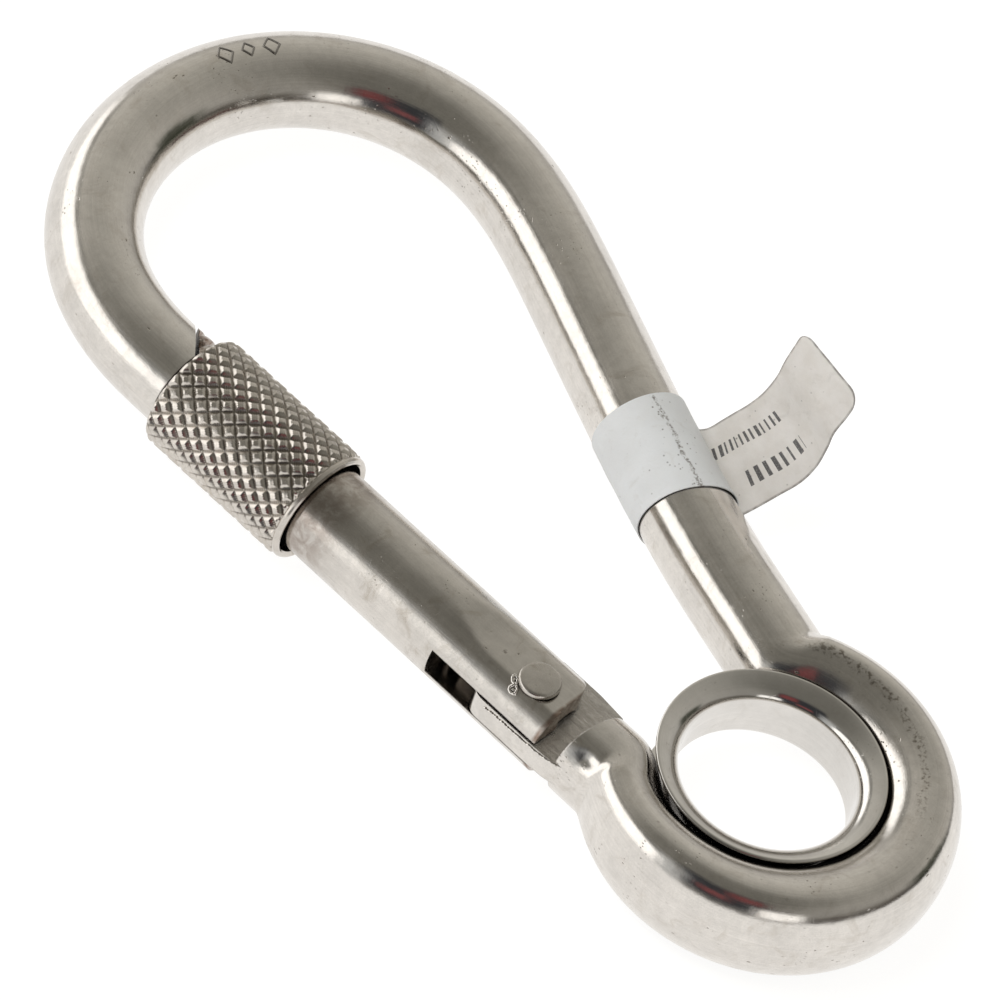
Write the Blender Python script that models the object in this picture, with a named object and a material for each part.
"""Screw-lock carbine hook with a thimble eye, in stainless steel.

Frame: origin in the middle of the footprint, on the plane the hook rests on;
+Z along the thimble's bore (square to the plane of the hook), +X from the nose
towards the eye along the closed gate, +Y from the gate towards the spine.
Lengths are in millimetres and are measured from the centre of the thimble,
which BASE places in the frame; they are scaled to metres when meshes are made.
"""
import math

import bmesh
import bpy
import numpy as np
from mathutils import Vector

MM = 0.001

# ---------------------------------------------------------- shared dimensions
BASE = (48.9, -13.56, 7.81)     # centre of the thimble in the frame
BAR_R = 6.0                     # round bar the hook is bent from
GATE_Y = -13.29                 # gate axis
GATE_AXIS = (GATE_Y, 0.0)       # y and z of the gate axis
NOSE_END_X = -83.25

# Hinge
PIVOT = (-24.79, -14.37)
PIVOT_ORIGIN = (*PIVOT, 0.0)
HEEL = 6.2                      # tang heel to pivot
CHEEK_Z = 5.2                   # half height over the gate's flattened cheeks
RIVET_R, RIVET_HOLE_R = 2.05, 2.3
SINK_R, SINK_DEPTH = 2.82, 1.0  # countersink in the lower cheek
BORE_END_X = -54.0              # blind end of the spring bore in the gate

# Slanted cut between nose and gate tip
CUT_OFFSET = -0.42              # y from the gate axis to the cut, at NOSE_END_X
CUT_SLOPE = 0.90                # -x travelled per unit of +y
CUT_GAP = 0.5                   # square to the cut
CUT_LENGTH = math.hypot(1.0, CUT_SLOPE)
CUT_NORMAL = (1.0 / CUT_LENGTH, CUT_SLOPE / CUT_LENGTH)

CUTTER_Z = 9.0                  # half height of cutters that go right through
ROUND_SEGMENTS = 24             # round holes, gate and rivet


# -------------------------------------------------------------- mesh helpers
def clear_scene():
    for ob in list(bpy.data.objects):
        bpy.data.objects.remove(ob, do_unlink=True)


def mesh_object(name, bm, mat, origin=(0.0, 0.0, 0.0), smooth_angle=32.0):
    """Object from a bmesh in millimetres; edges sharper than smooth_angle stay hard."""
    for vert in bm.verts:
        vert.co = (vert.co - Vector(origin)) * MM
    bmesh.ops.recalc_face_normals(bm, faces=bm.faces)
    mesh = bpy.data.meshes.new(name)
    bm.to_mesh(mesh)
    bm.free()
    mesh.shade_smooth()
    mesh.set_sharp_from_angle(angle=math.radians(smooth_angle))
    mesh.materials.append(mat)
    ob = bpy.data.objects.new(name, mesh)
    ob.location = [(offset + base) * MM for offset, base in zip(origin, BASE)]
    bpy.context.scene.collection.objects.link(ob)
    return ob


def ring_angles(count):
    """Angles round a circle, starting half a step off zero."""
    return [2 * math.pi * (k + 0.5) / count for k in range(count)]


def spin_point(along, radius, angle, centre, axis):
    """Point at an angle round the X or Z axis line through `centre`."""
    first = centre[0] + radius * math.cos(angle)
    second = centre[1] + radius * math.sin(angle)
    if axis == "X":
        return along, first, second
    return first, second, along


def bridge(bm, row_a, row_b, closed=True):
    """Quads between two rows of equally many vertices."""
    count = len(row_a)
    for k in range(count if closed else count - 1):
        j = (k + 1) % count
        bm.faces.new((row_a[k], row_a[j], row_b[j], row_b[k]))


def loft(rings):
    """Closed tube through rings of equally many points, with flat ends."""
    bm = bmesh.new()
    rows = [[bm.verts.new(point) for point in ring] for ring in rings]
    for row_a, row_b in zip(rows[:-1], rows[1:]):
        bridge(bm, row_a, row_b)
    count = len(rows[0])
    for row in (rows[0], rows[-1]):
        middle = bm.verts.new(sum((vert.co for vert in row), Vector()) / count)
        for k in range(count):
            bm.faces.new((row[k], row[(k + 1) % count], middle))
    bmesh.ops.triangulate(bm, faces=bm.faces)
    return bm


def revolve(profile, segments, centre, axis):
    """Ring-shaped solid from a closed profile of (along, radius) points."""
    bm = bmesh.new()
    rows = [[bm.verts.new(spin_point(along, radius, angle, centre, axis))
             for along, radius in profile] for angle in ring_angles(segments)]
    for k, row in enumerate(rows):
        bridge(bm, row, rows[(k + 1) % segments])
    return bm


def turned(profile, segments, centre, axis):
    """Solid turned part: open profile of (along, radius), flat ends."""
    return loft([[spin_point(along, radius, angle, centre, axis)
                  for angle in ring_angles(segments)] for along, radius in profile])


def prism(outline, half_height):
    """Flat plate from an outline in the XY plane, centred on z = 0."""
    bm = bmesh.new()
    low = [bm.verts.new((x, y, -half_height)) for x, y in outline]
    high = [bm.verts.new((x, y, half_height)) for x, y in outline]
    bridge(bm, low, high)
    bm.faces.new(low)
    bm.faces.new(high)
    return bm


def combine(ob, operation, name, bm):
    """Boolean `ob` with a helper object that is hidden from renders."""
    helper = mesh_object(name, bm, GUIDE)
    helper.hide_render = True
    helper.display_type = "WIRE"
    mod = ob.modifiers.new(operation.lower() + "_" + name, "BOOLEAN")
    mod.operation = operation
    mod.solver = "EXACT"
    mod.object = helper


def smoothstep(fraction):
    fraction = min(1.0, max(0.0, fraction))
    return fraction * fraction * (3 - 2 * fraction)


# ----------------------------------------------------------------- materials
def material(name, color, roughness, metallic):
    mat = bpy.data.materials.new(name)
    mat.use_nodes = True
    bsdf = mat.node_tree.nodes["Principled BSDF"]
    bsdf.inputs["Base Color"].default_value = (*color, 1.0)
    bsdf.inputs["Roughness"].default_value = roughness
    bsdf.inputs["Metallic"].default_value = metallic
    return mat


clear_scene()
STEEL = material("stainless_satin", color=(0.60, 0.58, 0.55), roughness=0.30, metallic=1.0)
POLISHED = material("stainless_polished", color=(0.70, 0.68, 0.66), roughness=0.16, metallic=1.0)
SPRING_WIRE = material("spring_wire", color=(0.35, 0.34, 0.33), roughness=0.35, metallic=1.0)
PAPER = material("tag_paper", color=(0.86, 0.85, 0.80), roughness=0.65, metallic=0.0)
GUIDE = material("guide", color=(0.2, 0.2, 0.2), roughness=0.5, metallic=0.0)


# --------------------------------------------------- path and section of bar
# Bend of the bar: (distance along its centre line from the end of the nose,
# turn there per BEND_UNIT of length, in radians, clockwise positive).
BEND = (
    (0.0, 0.0), (3.5, 0.1), (7.0, 0.98), (12.0, 1.01), (18.0, 1.33),
    (25.0, 1.15), (35.0, 0.95), (47.0, 0.93), (61.0, 1.06), (75.0, 1.13),
    (87.0, 1.17), (95.0, 1.05), (102.0, 0.66), (110.0, 0.21), (121.0, 0.01),
    (135.0, -0.05), (149.0, -0.10), (159.0, -0.17), (165.0, -0.25),
)
BEND_UNIT = 30.0
PATH_STEP = 0.25                # integration step along the bend

# Station spacing along the bar
BAR_STEP_COUNT = 12             # path steps between stations
BAR_STEP = BAR_STEP_COUNT * PATH_STEP
CREASE_STEP = 1.1
LOOP_STEP_DEG = 7.5

# Eye: the bar is bent round the thimble and pressed taller than it is wide.
LOOP_CENTRE = (1.2, -0.12)
LOOP_R = 17.75
CREASE_R = 6.4                  # inside radius of the sharp turn where bar meets eye
EYE_HALF_HEIGHT = 7.2
EYE_OUTER, EYE_CROWN = 3.8, 1.15
EYE_HOLE_R = 12.35              # the hole stays concentric with the thimble
EYE_SQUARE_OUT = 2.1
EYE_SQUARE_IN, EYE_SQUARE_IN_SWING = 1.645, 0.205
# Near the tang's arm the eye is lower and squarer outside.
ARM_LEAVES_DEG, ARM_SPREAD_DEG = -125.0, 24.0
ARM_LOWERING, ARM_SQUARING = 1.0, 0.5

# End of the arm, inside the flat tang
ARM_END = (-16.3, GATE_Y - 0.2)
ARM_END_HEADING = math.pi - 0.14

# Sections: crown offset outwards, outer half width, inner half width, half
# height, outer exponent, inner exponent (2 is an ellipse, more is squarer).
ROUND = np.array([0.0, BAR_R, BAR_R, BAR_R, 2.0, 2.0])
ARM = np.array([0.0, 5.3, 5.8, 5.85, 2.3, 2.0])
SECTION_POINTS = 20


def bend_path():
    """Centre line of the nose, bend and spine: list of (arc, x, y, heading)."""
    arcs = [arc for arc, _ in BEND]
    turns = [turn / BEND_UNIT for _, turn in BEND]
    x, y, heading = NOSE_END_X, GATE_Y, math.pi
    path = [(0.0, x, y, heading)]
    for i in range(int(round(arcs[-1] / PATH_STEP))):
        curvature = float(np.interp((i + 0.5) * PATH_STEP, arcs, turns))
        mid_heading = heading - curvature * PATH_STEP / 2
        x += math.cos(mid_heading) * PATH_STEP
        y += math.sin(mid_heading) * PATH_STEP
        heading -= curvature * PATH_STEP
        path.append(((i + 1) * PATH_STEP, x, y, heading))
    return path


def fillet_line_circle(x, y, heading):
    """Fillet to the left of the line from (x, y) at `heading`, joining it to the
    loop circle, which is then followed clockwise.
    Returns fillet centre, point on the line, angle where it joins the loop."""
    dir_x, dir_y = math.cos(heading), math.sin(heading)
    # The centre is CREASE_R left of the line, LOOP_R + CREASE_R from the loop's.
    start_x, start_y = x - dir_y * CREASE_R, y + dir_x * CREASE_R
    from_x, from_y = start_x - LOOP_CENTRE[0], start_y - LOOP_CENTRE[1]
    half_b = from_x * dir_x + from_y * dir_y
    const = from_x * from_x + from_y * from_y - (LOOP_R + CREASE_R) ** 2
    run = -half_b - math.sqrt(half_b * half_b - const)
    centre_x, centre_y = start_x + dir_x * run, start_y + dir_y * run
    angle = math.atan2(centre_y - LOOP_CENTRE[1], centre_x - LOOP_CENTRE[0])
    return (centre_x, centre_y), (x + dir_x * run, y + dir_y * run), angle


def eye_section(angle):
    """Pressed section of the eye at an angle round it: the inner side is fuller
    where the loop stands further from the thimble."""
    cosine, sine = math.cos(angle), math.sin(angle)
    inner = (LOOP_R + EYE_CROWN - EYE_HOLE_R
             + LOOP_CENTRE[0] * cosine + LOOP_CENTRE[1] * sine)
    near_arm = math.exp(-((math.degrees(angle) - ARM_LEAVES_DEG) / ARM_SPREAD_DEG) ** 2)
    return np.array([EYE_CROWN, EYE_OUTER, inner,
                     EYE_HALF_HEIGHT - ARM_LOWERING * near_arm,
                     EYE_SQUARE_OUT + ARM_SQUARING * near_arm,
                     EYE_SQUARE_IN + EYE_SQUARE_IN_SWING * cosine])


def crease_stations(centre, heading, end_heading, section, end_section):
    """Stations round a sharp counter-clockwise turn, blending two sections."""
    turn = (end_heading - heading) % (2 * math.pi)
    count = max(3, int(CREASE_R * turn / CREASE_STEP))
    stations = []
    for i in range(1, count + 1):
        here = heading + turn * i / count
        mix = smoothstep(i / count)
        stations.append((centre[0] + CREASE_R * math.sin(here),
                         centre[1] - CREASE_R * math.cos(here), here,
                         section * (1 - mix) + end_section * mix))
    return stations


def frame_stations():
    """Every station of the bar: (x, y, heading, section)."""
    path = bend_path()
    stations = [(x, y, heading, ROUND) for _, x, y, heading in path[::BAR_STEP_COUNT]]

    # straight run from the spine, then the crease into the eye
    _, x, y, heading = path[-1]
    centre_in, (line_x, line_y), angle_in = fillet_line_circle(x, y, heading)
    count = max(1, int(math.hypot(line_x - x, line_y - y) / BAR_STEP))
    for i in range(1, count + 1):
        stations.append((x + (line_x - x) * i / count, y + (line_y - y) * i / count,
                         heading, ROUND))
    stations += crease_stations(centre_in, heading, angle_in - math.pi / 2,
                                ROUND, eye_section(angle_in))

    # The second crease's centre is CREASE_R below the arm's line.
    centre_y = ARM_END[1] - CREASE_R
    drop = centre_y - LOOP_CENTRE[1]
    centre_x = LOOP_CENTRE[0] - math.sqrt((LOOP_R + CREASE_R) ** 2 - drop * drop)
    angle_out = math.atan2(drop, centre_x - LOOP_CENTRE[0])

    # clockwise round the eye
    sweep = (angle_in - angle_out) % (2 * math.pi)
    count = int(round(math.degrees(sweep) / LOOP_STEP_DEG))
    for i in range(1, count + 1):
        angle = angle_in - sweep * i / count
        stations.append((LOOP_CENTRE[0] + LOOP_R * math.cos(angle),
                         LOOP_CENTRE[1] + LOOP_R * math.sin(angle),
                         angle - math.pi / 2, eye_section(angle)))

    # crease out of the eye, then the arm that runs into the tang
    stations += crease_stations((centre_x, centre_y), angle_out - math.pi / 2, math.pi,
                                eye_section(angle_out), ARM)
    stations.append((*ARM_END, ARM_END_HEADING, ARM))
    return stations


def section_ring(x, y, heading, section):
    """Ring of points square to the path; positive lateral is left of travel,
    the outer side of the hook."""
    crown, outer, inner, half_height, outer_exp, inner_exp = section
    left_x, left_y = -math.sin(heading), math.cos(heading)
    ring = []
    for angle in ring_angles(SECTION_POINTS):
        cosine, sine = math.cos(angle), math.sin(angle)
        width, exponent = (outer, outer_exp) if cosine >= 0 else (inner, inner_exp)
        lateral = crown + width * math.copysign(abs(cosine) ** (2 / exponent), cosine)
        z = half_height * math.copysign(abs(sine) ** (2 / exponent), sine)
        ring.append((x + left_x * lateral, y + left_y * lateral, z))
    return ring


# --------------------------------------------------------------------- frame
TANG_HALF_THICKNESS = 1.7
CAM = 2.5                       # plunger travel per radian of swing
CAM_SWEEP = math.radians(35.0) + math.radians(1.5)  # gate swing and a margin
CAM_SEGMENTS = 7
HEEL_CORNER_R, HEEL_CORNER_SEGMENTS = 2.4, 4
TANG_LOW = -4.72                # lower edge of the tang, from the pivot
# Rest of the tang's outline, as (x, y) from the pivot
TANG_UPPER = ((10.9, -3.4), (10.9, 4.9), (8.3, 7.0), (4.4, 7.35), (-1.5, 7.35))
TANG_LOWER = ((4.6, TANG_LOW), (7.0, -4.6), (8.6, -4.3))
# Nose cutter: reach along y below and above the cut's middle, and its depth
NOSE_CUT_BELOW, NOSE_CUT_ABOVE, NOSE_CUT_DEPTH = 4.0, 8.0, 14.0


def tang_outline():
    """Plan of the flat tang. The heel is an involute cam, so the plunger moves
    CAM per radian of gate swing."""
    points = list(TANG_UPPER)
    for i in range(CAM_SEGMENTS + 1):
        swing = CAM_SWEEP * (1 - i / CAM_SEGMENTS)
        reach = -(HEEL + CAM * swing)
        points.append((reach * math.cos(swing) + CAM * math.sin(swing),
                       -reach * math.sin(swing) + CAM * math.cos(swing)))
    for i in range(HEEL_CORNER_SEGMENTS + 1):
        angle = math.pi + math.pi / 2 * i / HEEL_CORNER_SEGMENTS
        points.append((-HEEL + HEEL_CORNER_R * (1 + math.cos(angle)),
                       TANG_LOW + HEEL_CORNER_R * (1 + math.sin(angle))))
    points += TANG_LOWER
    return [(PIVOT[0] + x, PIVOT[1] + y) for x, y in points]


def nose_cut_outline():
    middle_y = GATE_Y + CUT_OFFSET
    low_x, low_y = NOSE_END_X + NOSE_CUT_BELOW * CUT_SLOPE, middle_y - NOSE_CUT_BELOW
    high_x, high_y = NOSE_END_X - NOSE_CUT_ABOVE * CUT_SLOPE, middle_y + NOSE_CUT_ABOVE
    deep_x, deep_y = (NOSE_CUT_DEPTH * part for part in CUT_NORMAL)
    return [(low_x, low_y), (low_x + deep_x, low_y + deep_y),
            (high_x + deep_x, high_y + deep_y), (high_x, high_y)]


def make_frame():
    """Bent bar with its eye, the flat tang, the rivet hole and the slanted nose."""
    rings = [section_ring(*station) for station in frame_stations()]
    frame = mesh_object("frame", loft(rings), STEEL, smooth_angle=40.0)
    combine(frame, "UNION", "tang_form", prism(tang_outline(), TANG_HALF_THICKNESS))
    combine(frame, "DIFFERENCE", "tang_hole",
            turned([(-CUTTER_Z, RIVET_HOLE_R), (CUTTER_Z, RIVET_HOLE_R)],
                   ROUND_SEGMENTS, PIVOT, "Z"))
    combine(frame, "DIFFERENCE", "nose_cut", prism(nose_cut_outline(), CUTTER_Z))


# ---------------------------------------------------------------------- gate
GATE_END_X, GATE_TIP_X = -20.2, -88.6
EDGE_R, EDGE_SEGMENTS = 0.7, 2          # rounded edges of the hinge end
EDGE_END = 0.995                        # stops just short of the full quarter turn
CHEEK_START_X, CHEEK_RUN = -40.0, 9.0   # where the cheeks flatten
BODY_X = (-26.0, -31.0, -33.25, -35.5, -37.75, -40.0, -48.0, -58.0, -66.3)
SHOULDER_X = -66.8                      # body drops to the thread root
THREAD_X, THREAD_PITCH, THREAD_ROOT = -67.5, 1.75, 5.35
CREST_START, CREST_END, THREAD_RUNOUT = 0.60, 0.85, 1.25    # from each root
RUNOUT_R = THREAD_ROOT - 0.1

SLOT_HALF = 2.0                         # half thickness of the slot for the tang
WINDOW_X, WINDOW_Y = -37.0, GATE_Y + 3.2    # slot's end and ceiling, open to -Y
SLOT_IN_X = -32.6                       # end of the slot on the +Y side
SLOT_REACH_X, SLOT_REACH_Y = 6.0, 12.0
BORE_R, BORE_REACH = 2.9, 1.5

# Inner (+Y) corner of the hinge end, in plan
END_ROUND_R = 4.1
END_ROUND_CENTRE = (GATE_END_X - 4.4, GATE_Y + 1.0)

TIP_SHORT_X = -82.7                     # square end on the tip's -Y side
TIP_CUT_X = -104.0                      # far end of the tip cutter
TIP_CUT_ABOVE, TIP_CUT_BELOW = 9.0, 10.0


def gate_ring(x, radius):
    """Circle clipped by the flat cheeks (z) and by the rounded end (y)."""
    cheek = BAR_R - (BAR_R - CHEEK_Z) * smoothstep((x - CHEEK_START_X) / CHEEK_RUN)
    width = BAR_R
    edge_x = GATE_END_X - EDGE_R
    if x > edge_x:
        part = (x - edge_x) / EDGE_R
        width = BAR_R - EDGE_R + EDGE_R * math.sqrt(1 - part * part)
    ring = []
    for angle in ring_angles(ROUND_SEGMENTS):
        cosine, sine = math.cos(angle), math.sin(angle)
        reach = min(radius, width / abs(cosine), cheek / abs(sine))
        ring.append((x, GATE_Y + reach * cosine, reach * sine))
    return ring


def gate_rings():
    rings = []
    for i in range(EDGE_SEGMENTS + 1):
        angle = math.pi / 2 * (1 - i / EDGE_SEGMENTS)
        x = GATE_END_X - EDGE_R + EDGE_R * math.sin(angle) * EDGE_END
        rings.append(gate_ring(x, BAR_R))
    rings += [gate_ring(x, BAR_R) for x in BODY_X]
    rings.append(gate_ring(SHOULDER_X, THREAD_ROOT))
    x = THREAD_X
    while x > GATE_TIP_X + CREST_START:
        rings.append(gate_ring(x, THREAD_ROOT))
        rings.append(gate_ring(x - CREST_START, BAR_R))
        rings.append(gate_ring(x - CREST_END, BAR_R))
        x -= THREAD_PITCH
    rings.append(gate_ring(x + THREAD_PITCH - THREAD_RUNOUT, RUNOUT_R))
    return rings


def slot_outline():
    low, high = GATE_Y - SLOT_REACH_Y, GATE_Y + SLOT_REACH_Y
    open_x = GATE_END_X + SLOT_REACH_X
    return [(WINDOW_X, low), (open_x, low), (open_x, high),
            (SLOT_IN_X, high), (SLOT_IN_X, WINDOW_Y), (WINDOW_X, WINDOW_Y)]


def end_round_outline():
    x, y = END_ROUND_CENTRE
    arc = [(x + END_ROUND_R * math.cos(math.radians(degrees)),
            y + END_ROUND_R * math.sin(math.radians(degrees)))
           for degrees in range(105, -1, -15)]
    near_x, far_x, back_x = x + END_ROUND_R, x + END_ROUND_R + 4.0, x - 4.8
    return arc + [(near_x, GATE_Y - 2.0), (far_x, GATE_Y - 2.0), (far_x, GATE_Y + 9.0),
                  (back_x, GATE_Y + 9.0), (back_x, GATE_Y + 6.6)]


def tip_cut_outline():
    """Matches the cut of the nose, CUT_GAP away from it."""
    normal_x, normal_y = CUT_NORMAL
    start_y = GATE_Y + CUT_OFFSET + (CUT_GAP - (TIP_SHORT_X - NOSE_END_X) * normal_x) / normal_y
    low, high = GATE_Y - TIP_CUT_BELOW, start_y + TIP_CUT_ABOVE
    return [(TIP_SHORT_X, low), (TIP_SHORT_X, start_y),
            (TIP_SHORT_X - TIP_CUT_ABOVE * CUT_SLOPE, high), (TIP_CUT_X, high),
            (TIP_CUT_X, low)]


def make_gate():
    gate = mesh_object("gate", loft(gate_rings()), STEEL, origin=PIVOT_ORIGIN,
                       smooth_angle=40.0)
    bore = [(BORE_END_X, BORE_R), (GATE_END_X + BORE_REACH, BORE_R)]
    rivet_hole = [(-CUTTER_Z, SINK_R), (-CHEEK_Z, SINK_R),
                  (-CHEEK_Z + SINK_DEPTH, RIVET_HOLE_R), (CUTTER_Z, RIVET_HOLE_R)]
    cutters = (
        ("gate_slot", prism(slot_outline(), SLOT_HALF)),
        ("spring_bore", turned(bore, ROUND_SEGMENTS, GATE_AXIS, "X")),
        ("cheek_hole", turned(rivet_hole, ROUND_SEGMENTS, PIVOT, "Z")),
        ("end_round", prism(end_round_outline(), CUTTER_Z)),
        ("tip_cut", prism(tip_cut_outline(), CUTTER_Z)),
    )
    for name, cutter in cutters:
        combine(gate, "DIFFERENCE", name, cutter)


# --------------------------------------------------------------- hinge rivet
def make_rivet():
    """Low head above the upper cheek, flush in the countersink below."""
    top, under = CHEEK_Z + 1.05, CHEEK_Z + 0.15     # top and underside of the head
    profile = [(top, 2.2), (top - 0.25, 2.6), (under + 0.2, 2.65), (under, 2.55),
               (under, RIVET_R), (-CHEEK_Z + SINK_DEPTH, RIVET_R),
               (-CHEEK_Z + 0.1, 2.5), (-CHEEK_Z - 0.02, 2.1)]
    mesh_object("hinge_rivet", turned(profile, ROUND_SEGMENTS, PIVOT, "Z"), STEEL,
                origin=PIVOT_ORIGIN, smooth_angle=40.0)


# -------------------------------------------------------- plunger and spring
PLUNGER_FACE_X = PIVOT[0] - HEEL - 0.15     # just clear of the tang's heel
PLUNGER_HEAD_R, PLUNGER_STEM_R = 2.65, 1.25
PLUNGER_BACK_X = PLUNGER_FACE_X - 3.1       # back of the head

SPRING_INSET = 0.65                         # wire centre to what each end faces
COILS, COIL_SEGMENTS, WIRE_SEGMENTS = 7.0, 12, 5
WIRE_R, COIL_R = 0.4, 2.2


def make_plunger():
    profile = [(PLUNGER_FACE_X, 2.35), (PLUNGER_FACE_X - 0.35, PLUNGER_HEAD_R),
               (PLUNGER_BACK_X, PLUNGER_HEAD_R), (PLUNGER_BACK_X, PLUNGER_STEM_R),
               (-46.0, PLUNGER_STEM_R), (-46.4, 0.9)]
    mesh_object("spring_plunger", turned(profile, 20, GATE_AXIS, "X"), STEEL,
                origin=(PLUNGER_FACE_X, *GATE_AXIS), smooth_angle=40.0)


def make_spring():
    """Evenly pitched coil of round wire, from the plunger to the bore's end."""
    start_x, end_x = PLUNGER_BACK_X - SPRING_INSET, BORE_END_X + SPRING_INSET
    rise = (end_x - start_x) / (2 * math.pi * COILS)    # x per radian
    count = int(COILS * COIL_SEGMENTS)
    rings = []
    for i in range(count + 1):
        part = i / count
        angle = 2 * math.pi * COILS * part
        cosine, sine = math.cos(angle), math.sin(angle)
        tangent = np.array([rise, -COIL_R * sine, COIL_R * cosine])
        tangent /= np.linalg.norm(tangent)
        radial = np.array([0.0, cosine, sine])
        side = np.cross(tangent, radial)
        centre = np.array([start_x + (end_x - start_x) * part,
                           GATE_Y + COIL_R * cosine, COIL_R * sine])
        ring = []
        for k in range(WIRE_SEGMENTS):
            turn = 2 * math.pi * k / WIRE_SEGMENTS
            offset = math.cos(turn) * radial + math.sin(turn) * side
            ring.append(tuple(centre + WIRE_R * offset))
        rings.append(ring)
    mesh_object("gate_spring", loft(rings), SPRING_WIRE, origin=(end_x, *GATE_AXIS),
                smooth_angle=80.0)


# --------------------------------------------------------------- lock sleeve
SLEEVE_START_X, SLEEVE_END_X = -82.6, -60.35
SLEEVE_R, SLEEVE_BAND_R, SLEEVE_BORE_R = 7.85, 7.55, 6.65
LAND_START_X, LAND_END_X, LAND_R = -74.6, -68.6, 6.35   # raised land in the bore
SLEEVE_CHAMFER, BORE_CHAMFER = 0.45, 0.3


def make_sleeve():
    """Sleeve with a narrower outer band at its +X end and a land in its bore."""
    start, end = SLEEVE_START_X, SLEEVE_END_X
    mouth_r = SLEEVE_BORE_R + BORE_CHAMFER
    profile = [
        (start, mouth_r), (start, SLEEVE_R - SLEEVE_CHAMFER),
        (start + SLEEVE_CHAMFER, SLEEVE_R), (end - 1.3, SLEEVE_R),
        (end - 1.0, SLEEVE_BAND_R), (end - SLEEVE_CHAMFER, SLEEVE_BAND_R),
        (end, SLEEVE_BAND_R - SLEEVE_CHAMFER), (end, mouth_r),
        (end - BORE_CHAMFER, SLEEVE_BORE_R), (LAND_END_X + BORE_CHAMFER, SLEEVE_BORE_R),
        (LAND_END_X, LAND_R), (LAND_START_X, LAND_R),
        (LAND_START_X - BORE_CHAMFER, SLEEVE_BORE_R), (start + BORE_CHAMFER, SLEEVE_BORE_R),
    ]
    mesh_object("lock_sleeve", revolve(profile, 32, GATE_AXIS, "X"), STEEL,
                origin=(0.5 * (start + end), *GATE_AXIS), smooth_angle=30.0)


# ------------------------------------------------------------------- thimble
THROAT_R, THROAT_HALF = 10.77, 2.45     # straight part of the bore
RIM_R, RIM_Z, WALL = 13.95, 5.0, 0.75
RIM_FLAT = 0.55                         # from the end of the flare to RIM_R
RIM_CHAMFER = 0.15
FLARE_SEGMENTS = 4


def make_thimble():
    """One piece rolled outwards at both ends; the rims have a narrow flat."""
    flare_r, flare_z = RIM_R - RIM_FLAT - THROAT_R, RIM_Z - THROAT_HALF
    inner, outer = [], []
    for i in range(FLARE_SEGMENTS + 1):
        angle = math.pi / 2 * i / FLARE_SEGMENTS
        rise, spread = math.sin(angle), 1 - math.cos(angle)
        inner.append((THROAT_HALF + flare_z * rise, THROAT_R + flare_r * spread))
        outer.append((THROAT_HALF + (flare_z - WALL + 0.15) * rise,
                      THROAT_R + WALL + (flare_r - WALL) * spread))
    rim = [(RIM_Z, RIM_R - RIM_CHAMFER), (RIM_Z - RIM_CHAMFER, RIM_R),
           (outer[-1][0] + 0.1, RIM_R)]
    upper = inner + rim + outer[::-1]
    profile = upper + [(-z, radius) for z, radius in reversed(upper)]
    mesh_object("thimble", revolve(profile, 40, (0.0, 0.0), "Z"), POLISHED,
                smooth_angle=30.0)


# ----------------------------------------------------------------- paper tag
TAG_ARC = (138.5, 154.3)        # where it wraps the spine, measured like BEND
FLAG_ARC = (141.6, 152.8)       # where its flag stands out
ARC_MARGIN = 0.3                # allows for the nearest path point
TAG_R, TAG_T = 6.2, 0.28        # inner radius and paper thickness
TAG_SEGMENTS, FLAG_SEGMENTS = 20, 9
FLAG_LEAVES = math.radians(-18.0)   # angle round the bar where the flag leaves
# Edges of the flag at its first and last arc: (outwards from the bar's centre, z)
FLAG_START_EDGE = (
    (6.2, -1.0), (8.7, 1.7), (10.5, 3.2), (12.4, 4.5), (14.0, 6.3),
    (14.9, 9.0), (15.1, 12.2), (15.7, 15.4), (16.2, 17.6),
)
FLAG_END_EDGE = (
    (6.2, -3.0), (8.6, -2.4), (12.5, -0.1), (15.2, 1.6), (16.7, 4.2),
    (17.15, 7.6), (17.2, 10.6), (18.1, 13.6), (18.8, 16.8),
)


def spline(points, part):
    """Catmull-Rom curve through points, part from 0 to 1."""
    last = len(points) - 1
    i = min(last - 1, max(0, int(part * last)))
    t = part * last - i
    before, start, end, after = (np.array(points[min(last, max(0, i + k))], float)
                                 for k in (-1, 0, 1, 2))
    return 0.5 * (2 * start + (end - before) * t
                  + (2 * before - 5 * start + 4 * end - after) * t * t
                  + (3 * start - before - 3 * end + after) * t ** 3)


def flag_point(out, across):
    """Flag's middle surface, both from 0 to 1; it twists a little."""
    return (spline(FLAG_START_EDGE, out) * (1 - across)
            + spline(FLAG_END_EDGE, out) * across)


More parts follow.
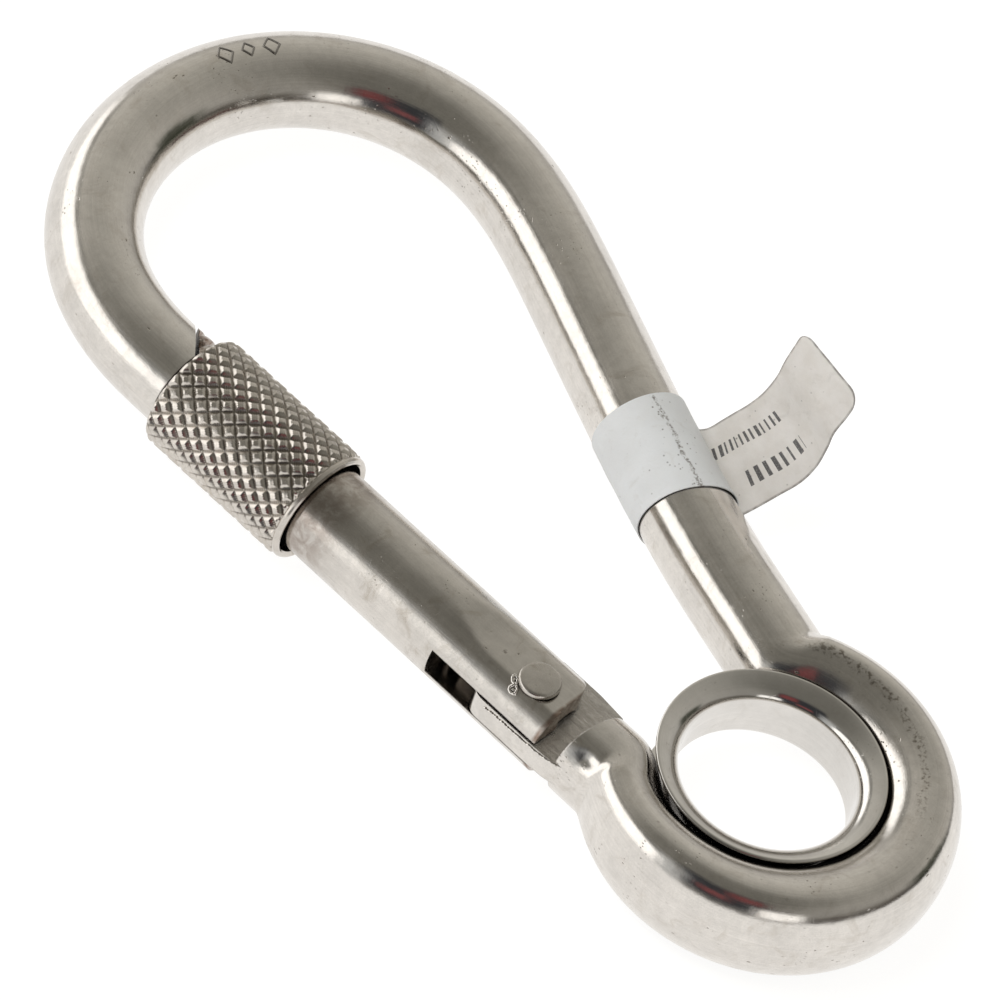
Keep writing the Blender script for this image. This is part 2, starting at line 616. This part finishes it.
def tag_row(bm, arc, x, y, heading):
    """Vertices square to the bar at one arc: the wrap's inner and outer rows,
    and the flag's two faces, empty where there is no flag."""
    def put(outwards, z):
        return bm.verts.new((x - math.sin(heading) * outwards,
                             y + math.cos(heading) * outwards, z))

    half_gap = 0.5 * TAG_T / TAG_R
    angles = [FLAG_LEAVES + half_gap + (2 * math.pi - 2 * half_gap) * k / TAG_SEGMENTS
              for k in range(TAG_SEGMENTS + 1)]
    inner, outer = ([put(radius * math.cos(angle), radius * math.sin(angle))
                     for angle in angles] for radius in (TAG_R, TAG_R + TAG_T))
    if not FLAG_ARC[0] - ARC_MARGIN <= arc <= FLAG_ARC[1] + ARC_MARGIN:
        return inner, outer, [], []

    upper, lower = [outer[0]], [outer[-1]]
    across = min(1.0, max(0.0, (arc - FLAG_ARC[0]) / (FLAG_ARC[1] - FLAG_ARC[0])))
    for k in range(1, FLAG_SEGMENTS + 1):
        out = k / FLAG_SEGMENTS
        outwards, z = flag_point(out, across)
        tangent = flag_point(min(1.0, out + 0.01), across) - flag_point(out - 0.01, across)
        shift_out, shift_z = tangent / np.linalg.norm(tangent) * TAG_T / 2
        upper.append(put(outwards - shift_z, z + shift_out))
        lower.append(put(outwards + shift_z, z - shift_out))
    return inner, outer, upper, lower


def make_tag():
    """Paper label wrapped round the spine, its two ends stuck together as a
    narrower flag that stands out from the bar and curls up."""
    arcs = (TAG_ARC[0], FLAG_ARC[0] - 2.0, FLAG_ARC[0], FLAG_ARC[0] + 4.0,
            FLAG_ARC[1] - 4.0, FLAG_ARC[1], TAG_ARC[1])
    path = bend_path()
    bm = bmesh.new()
    rows = [tag_row(bm, *min(path, key=lambda point: abs(point[0] - arc))) for arc in arcs]
    for row_a, row_b in zip(rows[:-1], rows[1:]):
        inner_a, outer_a, upper_a, lower_a = row_a
        inner_b, outer_b, upper_b, lower_b = row_b
        has_flag = bool(upper_a and upper_b)
        bridge(bm, inner_a, inner_b)
        bridge(bm, outer_a, outer_b, closed=not has_flag)
        if has_flag:
            bridge(bm, upper_a, upper_b, closed=False)
            bridge(bm, lower_a, lower_b, closed=False)
            bm.faces.new((upper_a[-1], lower_a[-1], lower_b[-1], upper_b[-1]))
    for inner, outer, _, _ in (rows[0], rows[-1]):
        bridge(bm, inner, outer)
    flag_rows = [row for row in rows if row[2]]
    for _, _, upper, lower in (flag_rows[0], flag_rows[-1]):
        bridge(bm, upper, lower, closed=False)
    mesh_object("tag", bm, PAPER, smooth_angle=50.0)


make_frame()
make_gate()
make_rivet()
make_spring()
make_plunger()
make_sleeve()
make_thimble()
make_tag()
